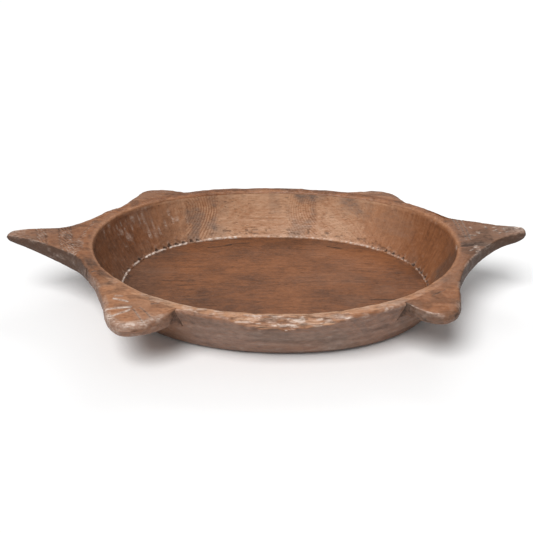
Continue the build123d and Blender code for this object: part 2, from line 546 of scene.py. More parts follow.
def side_weights(angle):
    """How much a direction from the centre belongs to the left end, right end, back and front."""
    left_end = smoothstep(0.55, 0.92, -np.cos(angle))
    right_end = smoothstep(0.55, 0.92, np.cos(angle))
    rear = smoothstep(0.25, 0.8, np.sin(angle))
    fore = smoothstep(0.25, 0.8, -np.sin(angle))
    return left_end, right_end, rear, fore


class InnerPlaces:
    """For every point inside the bowl: how far up the wall it is, and on which side."""

    def __init__(self, points, angle):
        wall_end = len(FOOT) + WALL_ROWS
        row = np.arange(points.shape[1])
        self.points = points
        self.x = points[..., 0]
        self.rise = points[..., 2] - FLOOR_TOP
        self.share = np.clip((row - len(FOOT) + 1) / WALL_ROWS, 0, 1)[None]
        self.on_wall = ((row >= 2) & (row < wall_end)).astype(float)
        self.on_rim = (row >= wall_end).astype(float)
        self.on_lip = np.zeros(len(row))
        self.on_lip[wall_end - 2:wall_end + 5] = (0.5, 1, 1, 1, 1, 0.7, 0.35)
        self.left_end, self.right_end, self.rear, self.fore = (w[:, None] for w in side_weights(angle))
        self.length = girth(angle)[:, None]
        self.degrees = np.degrees(angle % (2 * math.pi))[:, None]
        self.bite = self.length / RING_LENGTHS[-1] * BITES


def gouge_strokes(skin, at):
    """Strokes of a gouge, one above another in columns round the wall, and painted glints as pale dashes
    at the left.
    """
    column = at.length / 12.5 + 0.5 * noise(at.points, 55, 4)
    column_cell = np.floor(column).astype(int) % 512
    stroke = at.rise / 24 + 3 * LAYOUT[column_cell, 0]
    stroke_cell = (column_cell * 7 + np.floor(stroke).astype(int) * 31) % 512
    depth = 0.16 + 0.7 * at.left_end + 0.4 * at.right_end + 0.1 * at.fore
    depth = depth * (0.4 + 0.6 * LAYOUT[stroke_cell, 1]) * bump(0.04, 0.93, 0.05, at.share)
    skin.move -= depth * scoop(column, stroke) * at.on_wall
    # painted glints: short upright pale dashes on the left end's wall
    turned = np.stack([at.length + 0 * at.rise, 0 * at.rise, at.rise], -1)
    glint_dash = smoothstep(0.22, 0.5, noise(turned, (3.6, 1, 13), 46))
    glint_dash = glint_dash * smoothstep(-0.1, 0.3, noise(turned, (30, 1, 34), 47)) * bump(0.3, 0.93, 0.1, at.share)
    skin.pale += 0.38 * bump(142, 205, 10, at.degrees) * at.on_wall * glint_dash


def floor_edge(skin, at):
    """Triangular bites above the floor's edge, darkened as painted shade, beads along it painted pale,
    partly as bare wood and partly as painted highlight, and painted shade in the crevice at the wall's
    foot.
    """
    cell = np.floor(at.bite).astype(int) % 512
    top = 4.6 + 4 * LAYOUT[cell, 3]
    half = (0.18 + 0.2 * LAYOUT[cell, 6]) * np.clip(1 - (at.rise - 3) / (top - 3), 0, 1)
    across = np.abs(at.bite % 1 - 0.5 - 0.4 * (LAYOUT[cell, 4] - 0.5))
    inside = np.clip((half - across) / 0.1, 0, 1) * smoothstep(1.5, 3.4, at.rise)
    bitten = np.clip(bump(133, 205, 8, at.degrees) + bump(-1, 34, 8, at.degrees)
                     + bump(330, 361, 10, at.degrees) + 0.55 * at.fore, 0, 1)
    bitten = bitten * (0.3 + 0.7 * (LAYOUT[cell, 5] > 0.4))
    skin.move -= 2.0 * inside * bitten
    # painted shade inside the bites and along a line above the lip
    skin.dark += 0.7 * inside * bitten
    line = bump(3.6, 5.2, 0.9, at.rise) * at.on_wall
    skin.dark += 0.55 * line * bitten * patches(at.points, 9, 43, -0.4, 0.2)

    bead = 0.5 + 0.5 * np.cos(2 * math.pi * (at.bite * 1.3 + 0.5 * noise(at.points, 30, 5)))
    lip = bump(1.0, 3.0, 1.0, at.rise) * at.on_wall
    bright = np.clip(bump(118, 190, 10, at.degrees) + 0.36 * bump(0, 44, 8, at.degrees)
                     + 0.3 * bump(40, 112, 10, at.degrees), 0, 1)
    skin.move += lip * (0.25 + 0.5 * bead)
    patchy = patches(at.points, 14, 6, -0.55, -0.15) * (1 - 0.5 * (1 - at.left_end) * (1 - bead))
    # the beads' pale is partly chipped bare wood and partly painted highlight
    skin.pale += 1.3 * lip * bright * (0.6 + 0.4 * bead) * patchy
    # painted shade in the crevice at the wall's foot
    skin.dark += 0.6 * (1 - smoothstep(-0.5, 1.0, at.rise)) * at.on_wall
    chips = patches(at.points, (6, 6, 3.0), 7, 0.28, 0.4) * bump(7, 13, 3, at.rise)
    skin.dark += 0.25 * chips * at.rear
    skin.move -= 0.6 * chips * at.rear


def worn_rim(skin, at):
    """The rim: worn round, nicked, greyed, and paler along the front."""
    nick = patches(at.points, 11, 8, 0.3, 0.5)
    skin.move -= 0.25 * nick * at.on_rim
    grey, grime_and_valley_shade, sunk = patina(at.points)
    level_top = at.on_rim * (1 - at.on_lip)
    skin.grey += grey * level_top
    skin.dark += grime_and_valley_shade * level_top
    skin.move -= sunk * at.on_rim
    skin.tone += 0.14 * at.on_lip + 0.32 * at.fore * at.on_rim - 0.12 * at.rear * at.on_rim
    shade = patches(at.points, (18, 8, 8), 48, -0.1, 0.35)
    skin.dark += 0.3 * at.rear * at.on_rim * shade
    worn = patches(at.points, 17, 9, 0.15, 0.4) * at.on_rim
    skin.pale += 0.15 * worn * at.fore
    rubbed = bump(-118, -68, 10, at.x) * at.fore
    skin.pale += 0.35 * rubbed * at.on_rim * patches(at.points, 8, 10, -0.1, 0.3)


def wall_colours(skin, at):
    """Colour by side: a light back wall with grey blots and curved rings, darker ends."""
    # painted shadow: a dark grey band on the inner wall just under the rim at the right front
    signed = (at.degrees + 180) % 360 - 180
    leaning = signed - 7 * (1 - at.share)
    shadow_band = bump(-16, -3, 3, leaning) * smoothstep(0.02, 0.3, at.share) * at.on_wall
    shadow_band = shadow_band * patches(at.points, 18, 52, -0.7, -0.2)
    skin.dark += 0.45 * shadow_band
    skin.grey += 0.65 * shadow_band
    skin.tone += at.on_wall * (0.38 * at.rear - 0.12 * at.left_end - 0.12 * at.right_end)
    skin.grey += 0.12 * at.rear * at.on_wall + 0.1 * at.left_end * at.on_wall
    blot = patches(at.points, (42, 42, 30), 11, 0.0, 0.4)
    high = smoothstep(0.45, 0.95, at.share) * at.on_wall
    spots = bump(-165, -100, 22, at.x) + bump(52, 205, 22, at.x)
    skin.grey += 0.85 * blot * high * at.rear * np.clip(spots, 0, 1)
    arcs = (bump(-142, -98, 12, at.x) + bump(46, 84, 12, at.x)) * at.rear * at.on_wall
    skin.rings += 1.25 * arcs
    skin.grey += 0.55 * arcs * patches(at.points, (12, 20, 20), 49, -0.3, 0.3)
    skin.grey += 0.25 * patches(at.points, 33, 12, 0.1, 0.45) * at.on_wall
    skin.dark += 0.3 * patches(at.points, 26, 13, 0.1, 0.5) * at.left_end * at.on_wall
    skin.ends += np.clip(at.left_end + at.right_end + 0.35 * at.rear * high, 0, 1) * at.on_wall


def carve_inner(points, angle):
    """Everything inside the bowl above its floor, out to the rim's outer rounding."""
    skin = Skin(points.shape[:2], 0.55)
    at = InnerPlaces(points, angle)
    gouge_strokes(skin, at)
    floor_edge(skin, at)
    worn_rim(skin, at)
    wall_colours(skin, at)
    skin.move += undulation(points) * (0.55 + 0.45 * at.on_rim) * smoothstep(0.5, 4, at.rise + 3)
    return skin


def carve_outer(points, angle):
    """Long shallow strokes on the outer wall, greyed, darker in patches and towards the bottom."""
    skin = Skin(points.shape[:2], 0.42)
    height = points[..., 2]
    stroke = height / 17 + 0.7 * noise(points, (90, 90, 200), 14)
    cell = (np.floor(stroke).astype(int) * 37) % 512
    along = girth(angle)[:, None] / 70 + 5 * LAYOUT[cell, 0]
    cell = (cell + np.floor(along).astype(int) * 13) % 512
    carved = smoothstep(5, 14, height)
    depth = 0.55 * (0.4 + 0.6 * LAYOUT[cell, 1])
    skin.move += undulation(points) * carved - depth * scoop(stroke, along) * carved
    skin.grey += 0.6 + 0.25 * noise(points, 40, 15)
    skin.dark += 0.3 * patches(points, (60, 60, 14), 16, 0.1, 0.5)
    skin.dark += 0.4 * (1 - smoothstep(3, 12, height))
    return skin


def carve_bare(points, angle):
    """The rim's outer edge and upper wall, between the collars."""
    skin = carve_outer(points, angle)
    edge = np.clip(1 - np.arange(points.shape[1]) / (ROUND_ROWS + 2), 0, 1)[None]
    _, _, rear, fore = (weight[:, None] for weight in side_weights(angle))
    nick = patches(points, 11, 8, 0.25, 0.5)
    skin.move -= (0.7 - 0.5 * rear) * nick * edge
    skin.tone += 0.25 * edge
    skin.grey *= 1 - 0.6 * edge
    # painted highlight along the rim's outer edge at the front, strongest right of the middle
    crisp = bump(112, 200, 12, points[..., 0]) * fore * edge
    skin.pale += (0.4 * crisp + 0.12 * edge * fore) * patches(points, 12, 17, -0.3, 0.2)
    return skin


# Hatched bands across the left horn: share of its box along x, half width in millimetres, slant.
HORN_BANDS = [(0.33, 7, 1), (0.56, 10, 1), (0.76, 9, -1)]
# Cut lines: start and end as shares of a lobe's box, half width in millimetres, how pale they are.
LOBE_LINES = [
    ((0.27, 0.222), (0.53, 0.246), 2.6, 1.0), ((0.32, 0.10), (0.52, 0.20), 2.6, 0.9),
    ((0.36, 0.43), (0.43, 0.43), 2.2, 0.9), ((0.35, 0.385), (0.49, 0.335), 2.4, 0.9),
    ((0.56, 0.21), (0.66, 0.05), 2.0, 0.3), ((0.62, 0.24), (0.74, 0.10), 2.0, 0.2),
    ((0.07, 0.874), (0.26, 0.905), 1.8, 0.3), ((0.72, 0.30), (0.90, 0.33), 2.0, 0.2)]
FRONT_RIGHT_LINES = [
    ((0.42, 0.60), (0.66, 0.82), 2.0, 0.15), ((0.30, 0.50), (0.58, 0.66), 2.0, 0.15),
    ((0.50, 0.45), (0.70, 0.58), 2.0, 0.1)]
# Rows of dots run along this line and beside it, at these distances in millimetres.
HORN_ROOT_LINE = [(0.28, 0.84), (0.31, 0.68), (0.315, 0.50)]
DOTTED_ROWS = (0, 5.5, 12)


class OverRows:
    """Which rows of a collar's section are its top, side and underside, as weights."""

    def __init__(self, count):
        self.row = np.arange(count)[None]
        side_end = OVER_TOP_ROWS + 2 * EDGE_ROWS + FLANK_ROWS
        self.top = 1.0 - smoothstep(OVER_TOP_ROWS - 2, OVER_TOP_ROWS + EDGE_ROWS, self.row)
        self.under = smoothstep(OVER_TOP_ROWS + EDGE_ROWS + 2, side_end, self.row)
        self.side = 1 - self.top - self.under

    def ridge(self, offset, width):
        """1 on one row near the top's edge, fading to 0 at width rows from it."""
        return np.clip(1 - np.abs(self.row - OVER_TOP_ROWS - offset) / width, 0, 1)


class Marks:
    """How deep the tops of horns and lobes are cut, and how pale each cut is inside."""

    def __init__(self, points):
        self.points = points
        self.cuts = np.zeros(points.shape[:2])
        self.lights = np.zeros(points.shape[:2])

    def add(self, shape, cut, light):
        self.cuts = np.maximum(self.cuts, cut * shape)
        self.lights = np.maximum(self.lights, light * shape)

    def line(self, start, end, width, cut, light):
        self.add(line_mark(self.points, start, end, width), cut, light)

    def lines(self, node, rows, cut):
        for start, end, width, light in rows:
            self.add(node_line(self.points, node, start, end, width), cut, light)


def dress_left(skin, points, rows, marks, collar):
    """Hatching on the left horn, scratches by its root, a painted highlight along its tip, lines and a
    painted highlight along the nose on the front lobe, and a crease painted dark as shade.
    """
    x, y = points[..., 0], points[..., 1]
    low, high = node_box("horn_left")
    wobble = 1.5 * noise(points, 20, 22)
    for share, half, slant in HORN_BANDS:
        middle_x = low[0] + (high - low)[0] * share
        across = x - middle_x + 0.25 * slant * (y - 10) + wobble
        hatch = np.abs(((x * slant + 0.8 * y) / 6.5) % 1 - 0.5) < 0.17
        hatch = bump(-half, half, 2, across) * hatch
        marks.add(hatch, 0.5, 0)
        marks.add(hatch * (noise(points, 7, 50) > -0.12), 0, 0.34)
        marks.add(bump(half - 1.2, half + 1.2, 1, np.abs(across)), 0.35, 0)
    marks.lines("lobe_front_left", LOBE_LINES, 1)
    for k in range(7):
        begin = in_node("horn_left", 0.69 + 0.02 * k, 0.44 - 0.018 * k)
        marks.line(begin, begin + (9, -7 + 2 * (k % 3)), 1.9, 0.6, 0.7)
    # painted highlight along the top edge of the horn's tip
    tip_highlight = node_line(points, "horn_left", (0.04, 0.525), (0.17, 0.555), 3)
    skin.pale += 0.7 * tip_highlight * (1 - rows.under)

    # painted highlight along the nose's top edge; the face below is greyed and mottled
    nose = bump(-232, -150, 12, x) * bump(-235, -205, 10, y)
    face = nose * (1 - rows.top)
    skin.pale += 0.34 * nose * rows.ridge(1, 3)
    skin.pale += 0.16 * face * patches(points, (9, 9, 5), 51, 0.0, 0.4)
    skin.grey += 0.3 * face
    skin.dark -= 0.27 * face
    skin.tone += 0.14 * bump(-240, -140, 15, x) * (y < -120) * rows.top
    # painted shade in the upright crease where the horn's side meets the lobe
    crease_cut_and_shade = np.abs(np.arange(len(points)) - collar.webs[1])[:, None]
    crease_cut_and_shade = np.clip(1 - crease_cut_and_shade / 5, 0, 1) * (1 - rows.top)
    skin.dark += 0.7 * crease_cut_and_shade
    skin.move -= 2.2 * crease_cut_and_shade


def dress_right(skin, points, rows, marks, collar):
    """Dotted rows and scratches on the right horn, a painted glint near its tip, a crisp grey face on the
    front lobe and a painted highlight along its top edge.
    """
    x, y = points[..., 0], points[..., 1]
    places = [in_node("horn_right", *share) for share in HORN_ROOT_LINE]
    for k, offset in enumerate(DOTTED_ROWS):
        dots = 0.35 + 0.65 * (np.abs((y / 4.6 + 0.5 * k) % 1 - 0.5) < 0.28)
        for a, b in zip(places, places[1:]):
            marks.add(line_mark(points, a + (offset, 0), b + (offset, 0), 1.9) * dots, 1, 0.35)
    for k in range(16):
        begin = in_node("horn_right", 0.38 + 0.42 * LAYOUT[k, 6], 0.52 + 0.14 * LAYOUT[k, 7])
        turn = 3 * LAYOUT[k, 5]
        marks.line(begin, begin + 5 * np.array([math.cos(turn), math.sin(turn)]), 1.8, 0.8, 0.6)
    for k in range(9):
        begin = in_node("horn_right", 0.33 + 0.12 * LAYOUT[k, 0], 0.27 + 0.15 * LAYOUT[k, 1])
        marks.line(begin, begin + (4, 2), 2.2, 0.7, 0.8)
    marks.lines("lobe_front_right", FRONT_RIGHT_LINES, 0.7)
    glint = node_line(points, "horn_right", (0.90, 0.595), (0.95, 0.59), 3.5)
    skin.pale += 1.2 * glint * rows.top

    face = bump(190, 252, 8, x) * (y < -150) * (1 - rows.top)
    skin.dark += 0.15 * face
    skin.grey += 0.4 * face
    # painted highlight along the front lobe's top edge
    skin.pale += 0.5 * bump(196, 248, 6, x) * (y < -150) * rows.ridge(0, 3)


def carve_over(points, collar):
    """Horns and lobes: incised bands and scratches on top, grey sides, sides and undersides painted darker
    as shade, painted shade in the notches and painted highlights along the top's edge.
    """
    skin = Skin(points.shape[:2], 0.55)
    rows = OverRows(points.shape[1])
    horn = smoothstep(262, 292, np.abs(points[..., 0]))
    skin.move += undulation(points) * (1 - 0.4 * rows.under)
    skin.move += 0.35 * noise(points, (14, 5, 5), 18) * rows.side
    # sides and undersides are painted grey and darker; the darkening is painted shade, strongest on the
    # horns
    skin.grey += (0.5 - 0.45 * horn) * rows.side + 0.3 * rows.under
    skin.dark += (0.5 + 0.85 * horn) * rows.side + (0.55 + 0.5 * horn) * rows.under
    grey, grime_and_valley_shade, sunk = patina(points)
    skin.grey += grey * rows.top
    skin.dark += grime_and_valley_shade * rows.top
    skin.move -= sunk * rows.top
    # painted highlight in patches along the top's rounded edge
    skin.pale += 0.2 * rows.ridge(2, 5) * patches(points, 15, 21, 0.0, 0.35)
    # painted shade deep in the notches at both ends of a collar
    ends = collar.distance[:, None]
    notch = np.clip(2 - smoothstep(0, 9, ends) - smoothstep(0, 9, ends[-1] - ends), 0, 1)
    deep = notch * smoothstep(OVER_TOP_ROWS * 0.6, OVER_TOP_ROWS, rows.row)
    skin.dark += 0.4 * deep
    skin.move -= 1.6 * deep

    marks = Marks(points)
    dress = dress_left if "horn_left" in collar.nodes else dress_right
    dress(skin, points, rows, marks, collar)
    skin.move -= 0.9 * marks.cuts * rows.top
    skin.dark += 0.5 * marks.cuts * rows.top * (1 - marks.lights)
    skin.pale += 0.9 * marks.lights * rows.top

    x, y = points[..., 0], points[..., 1]
    skin.pale += 0.25 * smoothstep(370, 424, np.abs(x)) * rows.top
    rear_lobe = smoothstep(120, 190, y)
    skin.grey += 0.25 * rear_lobe * rows.top
    skin.tone += 0.05 * rear_lobe
    skin.dark += 0.2 * rear_lobe * rows.top * (x < 0)
    skin.move += 0.4 * noise(points, (12, 5, 5), 23) * rear_lobe
    return skin


# ---------------------------------------------------------------- the broken edge at the front
# All in millimetres: where the break's middle is, how far it runs each way, how deep it goes down
# the outer wall and how far into the rim.
BREAK_MIDDLE = 14
BREAK_LEFT = 70
BREAK_RIGHT = 112
BREAK_DROP = 19.5
BREAK_BITE = 12.5


def break_off(points, skin):
    """Splits a long shallow chunk off the front rim's outer edge, leaving rough fibres."""
    x = points[..., 0] - CENTRE[0]
    y = points[..., 1] - CENTRE[1]
    reach = np.hypot(x, y)
    angle = np.arctan2(y, x) - TURN
    from_middle = points[..., 0] - BREAK_MIDDLE
    span = from_middle / np.where(from_middle < 0, BREAK_LEFT, BREAK_RIGHT)
    span = np.clip(1 - span ** 2, 0, 1)
    ragged = noise(points * (1, 1, 0), (16, 16, 10), 24)
    drop = BREAK_DROP * span ** 0.6 * (1 + 0.25 * ragged) + 0.01
    inner_edge = rim_reach(angle) - (BREAK_BITE * span ** 0.4 + 0.01)
    top = sheer(points[..., 0]) + 1
    low_reach = outside_reach(angle, np.clip(top - drop, 0, None))
    run = np.stack([low_reach - inner_edge, -drop], -1)
    run /= np.linalg.norm(run, axis=-1, keepdims=True)
    facing = np.stack([-run[..., 1], run[..., 0]], -1)
    from_edge = np.stack([reach - inner_edge, points[..., 2] - top], -1)
    excess = (from_edge * facing).sum(-1)
    fibre = 1.5 * noise(points, (26, 5, 2.6), 25) + 0.9 * noise(points, (9, 3, 1.6), 26)
    fibre += 1.2 * np.round(2.2 * noise(points, (34, 6, 5), 27)) / 2.2
    within = (y < 0) * (points[..., 2] > top - drop - 1) * (span > 0)
    cut = np.clip(excess + 0.6 - fibre, 0, None) * within
    flat = np.stack([x / reach, y / reach], -1)
    shift = np.concatenate([flat * facing[..., :1], facing[..., 1:]], -1) * cut[..., None]
    torn = smoothstep(0.3, 1.4, cut)
    skin.tone += torn * (0.8 + 0.3 * noise(points, (20, 6, 4), 28) - skin.tone)
    skin.grey += torn * (0.2 + 0.5 * patches(points, (24, 8, 5), 29, 0.0, 0.4) - skin.grey)
    skin.pale += torn * 0.55 * patches(points, (13, 5, 3), 30, 0.05, 0.4)
    skin.dark += torn * (0.6 * patches(points, (15, 5, 2.5), 31, 0.1, 0.35) - 0.7 * skin.dark)
    return points - shift


def carve_run(grid, angle, carve_middle):
    """The normals of a whole run of columns, and what carving does to it."""
    skins = [carve_inner(grid[:, :INNER_COUNT], angle),
             carve_middle(grid[:, INNER_COUNT:-OUTER_COUNT]),
             carve_outer(grid[:, -OUTER_COUNT:], angle)]
    whole = Skin(grid.shape[:2], 0)
    for name in ("move", *Skin.NAMES):
        setattr(whole, name, np.concatenate([getattr(skin, name) for skin in skins], 1))
    # painted shade in the hollows and painted pale ridges, partly highlight
    shade_hollows_and_pale_ridges(whole)
    return grid_normals(grid), whole


def share_ends(normals):
    """Gives neighbouring runs the same normals in the column where they meet."""
    shared = np.r_[0:INNER_COUNT, -OUTER_COUNT:0]
    for run, next_run in zip(normals, normals[1:] + normals[:1]):
        mean = run[-1][shared] + next_run[0][shared]
        mean /= np.linalg.norm(mean, axis=-1, keepdims=True)
        run[-1][shared] = mean
        next_run[0][shared] = mean


def finish_runs():
    """Carves the two collars and the two bare runs so that they still meet, column to column."""
    runs = [
        [left.grid, left.angle, lambda points: carve_over(points, left)],
        [front, front_angle, lambda points: carve_bare(points, front_angle)],
        [right.grid, right.angle, lambda points: carve_over(points, right)],
        [back, back_angle, lambda points: carve_bare(points, back_angle)]]
    carved = [carve_run(*run) for run in runs]
    share_ends([normals for normals, _ in carved])
    out = []
    for (grid, _, _), (normals, skin) in zip(runs, carved):
        moved = grid + normals * skin.move[..., None]
        moved[:, -1] = grid[:, -1]
        moved[..., 2] = np.clip(moved[..., 2], 0, None)
        if grid is front:
            moved = break_off(moved, skin)
        out.append((moved, grid_normals(moved), skin.layers()))
    share_ends([normals for _, normals, _ in out])
    return out


left_run, front_run, right_run, back_run = finish_runs()


# ---------------------------------------------------------------- meshes
def quads(index):
    """Faces of a grid of vertex numbers, columns first."""
    a, b = index[:-1, :-1], index[:-1, 1:]
    c, d = index[1:, 1:], index[1:, :-1]
    return np.stack([a, b, c, d], -1).reshape(-1, 4)


def flatten(part):
    return part.reshape(-1, part.shape[-1])


def make_piece(name, points, normals, layers, faces):
    """A closed piece from points in millimetres, each with a normal and layers of colour."""
    mesh = bpy.data.meshes.new(name)
    mesh.from_pydata((points * MM).tolist(), [], [[int(v) for v in face] for face in faces])
    mesh.update()
    mesh.polygons.foreach_set("use_smooth", np.ones(len(mesh.polygons), bool))
    if normals is not None:
        mesh.normals_split_custom_set_from_vertices(normals.tolist())
    named = dict(zip(Skin.NAMES, layers.T), around=girth(polar_angle(points)) * MM)
    for label, values in named.items():
        layer = mesh.attributes.new(label, "FLOAT", "POINT")
        layer.data.foreach_set("value", values.astype(np.float32))
    piece = bpy.data.objects.new(name, mesh)
    bpy.context.scene.collection.objects.link(piece)
    return piece


def over_piece(name, run, start, end):
    """One horn or lobe: its stretch of the collar, closed by a strip along the wall and two ends."""
    rows = slice(INNER_COUNT - 1, run[0].shape[1] - OUTER_COUNT + 1)
    parts = [part[start:end + 1, rows] for part in run]
    columns, count = parts[0].shape[:2]
    index = np.arange(columns * count).reshape(columns, count)
    strip = np.stack([index[:-1, 0], index[1:, 0], index[1:, -1], index[:-1, -1]], -1)
    faces = [*quads(index), *strip, index[0, ::-1], index[-1]]
    return make_piece(name, *map(flatten, parts), faces)


pieces = {}
for collar, run in ((left, left_run), (right, right_run)):
    stops = [0, *collar.webs, len(collar.rows) - 1]
    for node, start, end in zip(collar.nodes, stops, stops[1:]):
        pieces[node] = over_piece(node + "_carved", run, start, end)


def wall_piece():
    """The basin's wall: both bare runs whole, and both collars without what stands out from them."""
    stores = [[], [], []]
    faces, caps = [], []
    count = 0

    def store(run, columns, rows):
        nonlocal count
        parts = [part[columns, rows] for part in run]
        for kept, part in zip(stores, parts):
            kept.append(flatten(part))
        shape = parts[0].shape[:2]
        index = np.arange(count, count + shape[0] * shape[1]).reshape(shape)
        count += index.size
        return index

    inside, outside = slice(0, INNER_COUNT), slice(-OUTER_COUNT, None)
    every_second, all_but_ends = slice(None, None, 2), slice(1, -1)
    blocks = []
    for run, bare in ((right_run, back_run), (left_run, front_run)):
        inner = store(run, every_second, inside)
        outer = store(run, every_second, outside)
        caps += [*quads(np.stack([inner[:, -1], outer[:, 0]], 1))]
        bare_inner = store(bare, all_but_ends, inside)
        bare_outer = store(bare, all_but_ends, outside)
        middle = store(bare, slice(None), slice(INNER_COUNT, -OUTER_COUNT))
        blocks.append((inner, bare_inner, middle, outer, bare_outer))
    for here, after in (blocks, blocks[::-1]):
        inner, bare_inner, middle, outer, bare_outer = here
        top = np.concatenate([inner[-1:, -1], bare_inner[:, -1], after[0][:1, -1]])
        bottom = np.concatenate([outer[-1:, 0], bare_outer[:, 0], after[3][:1, 0]])
        faces.append(quads(np.column_stack([top, middle, bottom])))
        caps.append([bottom[0], *middle[0, ::-1], top[0]])
        caps.append([top[-1], *middle[-1], bottom[-1]])
    (right_in, back_in, _, right_out, back_out), (left_in, front_in, _, left_out, front_out) = blocks
    ring_in = np.concatenate([right_in, back_in, left_in, front_in, right_in[:1]])
    ring_out = np.concatenate([right_out, back_out, left_out, front_out, right_out[:1]])
    faces += [quads(ring_in), quads(ring_out), quads(np.column_stack([ring_out[:, -1], ring_in[:, 0]]))]
    faces = [*np.concatenate(faces), *caps]
    return make_piece("basin_wall_carved", *(np.concatenate(kept) for kept in stores), faces)


pieces["basin_wall"] = wall_piece()


# ---------------------------------------------------------------- the floor
# Cracks and dark streaks: start as shares of the floor's half sizes, run and rise in millimetres,
# half width, and how deep and dark from 0 to 1.
FLOOR_CRACKS = [
    (-0.46, 0.78, 40, 10, 3.2, 0.9), (-0.34, 0.84, 42, 8, 2.6, 0.8), (0.38, 0.81, 24, -9, 3.6, 0.9),
    (-0.74, 0.12, 55, -3, 2.6, 0.6), (-0.63, 0.0, 30, 5, 2.4, 0.5), (0.62, -0.25, 60, 2, 3.0, 1.0),
    (-0.24, 0.14, 44, -8, 2.6, 0.35), (0.12, 0.42, 30, -8, 2.6, 0.3), (0.1, 0.75, 50, -3, 2.4, 0.4),
    (0.5, 0.3, 48, -6, 2.4, 0.3), (-0.1, -0.4, 60, 4, 2.4, 0.3), (0.3, -0.6, 50, 3, 2.4, 0.3)]
FLOOR_COLUMNS = 720
FLOOR_RINGS = 118
# Shares of the floor's size at which its rings halve their number of points.
FLOOR_HALVINGS = [0.5, 0.25, 0.125, 0.06]
# The floor's edge reaches under the wall's foot, this far out and between these depths.
TUCK_OUT = 1.5
TUCK_LOW = 3.4
TUCK_HIGH = 0.6


def carve_floor(points):
    """The floor: nearly flat, darker at the left end, with dark streaks and cracks along the grain."""
    skin = Skin((len(points), 1), 0.36)
    points = points[:, None]
    x, y = points[..., 0], points[..., 1]
    skin.move += 0.9 * noise(points, 80, 32) + 0.35 * noise(points, (40, 16, 16), 33)
    skin.move += 0.2 * noise(points, (18, 6, 6), 34)
    skin.tone += 0.09 * noise(points, (70, 45, 50), 35) + 0.06 * noise(points, (22, 12, 9), 36)
    left_dark = smoothstep(-0.55, -0.95, (x - CENTRE[0]) / FLOOR_RING[0])
    skin.dark += 0.55 * left_dark + 0.12 * patches(points, (14, 6, 6), 37, 0.1, 0.4)
    skin.grey += 0.14 * patches(points, (55, 30, 30), 38, 0.1, 0.45) + 0.2 * left_dark
    crooked = points + np.stack([0 * x, 3 * noise(points, 22, 39), 0 * x], -1)
    for across, along, run, rise, width, deep in FLOOR_CRACKS:
        start = CENTRE + FLOOR_RING * (across, along)
        mark = line_mark(crooked, start, start + (run, rise), width)
        skin.move -= 1.2 * deep * mark
        skin.dark += deep * smoothstep(0, 0.7, mark)
    gap = ring_reach(polar_angle(points)) - np.hypot(x - CENTRE[0], y - CENTRE[1])
    rough = smoothstep(12, 1, gap + 8 * noise(points, 20, 40))
    skin.dark += 0.4 * rough * patches(points, 10, 41, -0.1, 0.3)
    return skin


def floor_piece():
    """The floor: rings of points that halve in number towards the middle, over a flat base."""
    angle = np.linspace(0, 2 * math.pi, FLOOR_COLUMNS, endpoint=False)
    seam = radius(FLOOR_SEAM, 2, angle)
    edge = ring_reach(angle) + TUCK_OUT
    rings = [place(seam, angle, 0.0), place(seam, angle, FLOOR_TOP - TUCK_LOW),
             place(edge, angle, FLOOR_TOP - TUCK_LOW), place(edge, angle, FLOOR_TOP - TUCK_HIGH)]
    hidden = len(rings) * FLOOR_COLUMNS
    for share in np.linspace(1, 0, FLOOR_RINGS, endpoint=False)[1:]:
        halved = sum(share < limit for limit in FLOOR_HALVINGS)
        angle = np.linspace(0, 2 * math.pi, FLOOR_COLUMNS // 2 ** halved, endpoint=False)
        rings.append(place(ring_reach(angle) * share, angle, FLOOR_TOP))
    rings.append(place(np.zeros(1), np.zeros(1), FLOOR_TOP))
    starts = np.concatenate([[0], np.cumsum([len(ring) for ring in rings])])
    faces = []
    for start, one, other in zip(starts, rings, rings[1:-1]):
        n, m = len(one), len(other)
        a = start + np.arange(n)
        b = start + n + np.arange(m)
        if n == m:
            faces += zip(a, np.roll(a, -1), np.roll(b, -1), b)
        else:
            faces += zip(a[::2], a[1::2], b)
            faces += zip(a[1::2], np.roll(a, -2)[::2], np.roll(b, -1), b)
    centre = starts[-2]
    last_ring = np.arange(starts[-3], centre)
    faces += zip(last_ring, np.roll(last_ring, -1), np.full(len(last_ring), centre))
    faces.append(range(FLOOR_COLUMNS - 1, -1, -1))
    points = np.concatenate(rings)
    skin = carve_floor(points)
    points[hidden:, 2] += skin.move[hidden:, 0]
    return make_piece("basin_floor_carved", points, None, skin.layers()[:, 0], faces)


pieces["basin_floor"] = floor_piece()


# ---------------------------------------------------------------- wood
class Value:
    """A number worked out by shader nodes, so that sums can be written as sums."""

    def __init__(self, nodes, socket):
        self.nodes = nodes
        self.socket = socket

    def __add__(self, other):
        return self.nodes.math("ADD", self, other)

    def __sub__(self, other):
        return self.nodes.math("SUBTRACT", self, other)

    def __rsub__(self, other):
        return self.nodes.math("SUBTRACT", other, self)

    def __mul__(self, other):
        return self.nodes.math("MULTIPLY", self, other)

    def __pow__(self, other):
        return self.nodes.math("POWER", self, other)


